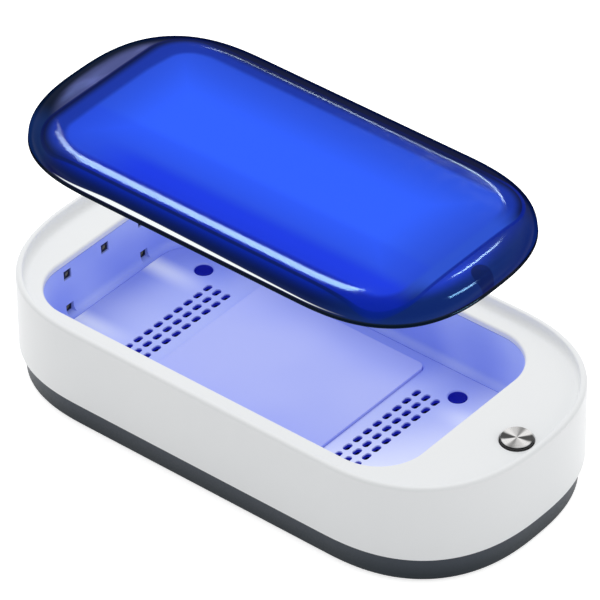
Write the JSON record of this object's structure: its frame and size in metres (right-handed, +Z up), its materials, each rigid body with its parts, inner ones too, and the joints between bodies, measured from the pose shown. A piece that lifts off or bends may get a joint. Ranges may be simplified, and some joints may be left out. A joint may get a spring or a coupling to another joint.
{
  "type": "ultraviolet sterilizer box",
  "caption": "Pill-shaped tabletop sterilizer: a white shell on a slate pan, a lit chamber with a charging pad, a push button on the deck and a translucent lift-off lid.",
  "frame": {"origin": "on the table, under the middle of the upper shell's outline", "axes": "+X along the box towards the button, +Y towards the back wall with the socket, +Z up"},
  "size_m": [0.215, 0.109, 0.109],
  "materials": {
    "white_shell": "satin white",
    "slate_shell": "fine matt slate",
    "chamber_plastic": "matt, lit lavender",
    "pad_plastic": "smooth matt, lit lavender",
    "plug_rubber": "matt",
    "blue_lid": "translucent gloss blue",
    "spun_metal": "spun",
    "dark_plastic": "satin black",
    "circuit_board": "solder mask green",
    "lamp_chip": "yellowish lens",
    "copper": "enamelled copper",
    "ferrite": "matt",
    "steel": "plated",
    "foot_rubber": "matt black",
    "lead_sleeve": "matt white"
  },
  "bodies": {
    "base": {"upper_housing": "white_shell", "base_pan": "slate_shell", "chamber_liner": "chamber_plastic", "floor_panel": "chamber_plastic", "charging_pad": "pad_plastic", "charging_coil": "copper", "ferrite_shield": "ferrite", "coil_carrier": "dark_plastic", "charger_board": "circuit_board", "power_socket": "steel", "led_board_left": "circuit_board", "led_board_right": "circuit_board", "button_board": "circuit_board", "tact_switch": "dark_plastic", "lid_sensor": "dark_plastic", "led_cable_left": "lead_sleeve", "led_cable_right": "lead_sleeve", "button_cable": "lead_sleeve", "foot_front_left": "foot_rubber", "foot_back_left": "foot_rubber", "foot_front_right": "foot_rubber", "foot_back_right": "foot_rubber", "well_plug_front_left": "plug_rubber", "well_plug_back_left": "plug_rubber", "well_plug_front_right": "plug_rubber", "well_plug_back_right": "plug_rubber", "housing_screw_front_left": "steel", "housing_screw_back_left": "steel", "housing_screw_front_right": "steel", "housing_screw_back_right": "steel", "floor_screw_front_left": "steel", "floor_screw_back_left": "steel", "floor_screw_front_right": "steel", "floor_screw_back_right": "steel", "charger_board_screw_front_left": "steel", "charger_board_screw_back_left": "steel", "charger_board_screw_front_right": "steel", "charger_board_screw_back_right": "steel", "button_board_screw_front": "steel", "button_board_screw_back": "steel", "uv_led_left_1": "lamp_chip", "uv_led_left_2": "lamp_chip", "uv_led_left_3": "lamp_chip", "uv_led_left_4": "lamp_chip", "uv_led_left_5": "lamp_chip", "uv_led_right_1": "lamp_chip", "uv_led_right_2": "lamp_chip", "uv_led_right_3": "lamp_chip", "uv_led_right_4": "lamp_chip", "uv_led_right_5": "lamp_chip"},
    "lid": {"lid_shell": "blue_lid", "lid_magnet": "steel"},
    "button": {"button_body": "dark_plastic", "button_cap": "spun_metal", "switch_plunger": "dark_plastic"}
  },
  "joints": [
    {"name": "lid_lift", "type": "slide", "parent": "base", "child": "lid", "axis": [0, 0, 1], "range_m": [-0.0594, 0]},
    {"name": "button_press", "type": "slide", "parent": "base", "child": "button", "axis": [0, 0, -1], "range_m": [0, 0.0008], "stiffness_N_per_m": 1500, "springref_m": -0.0002}
  ]
}
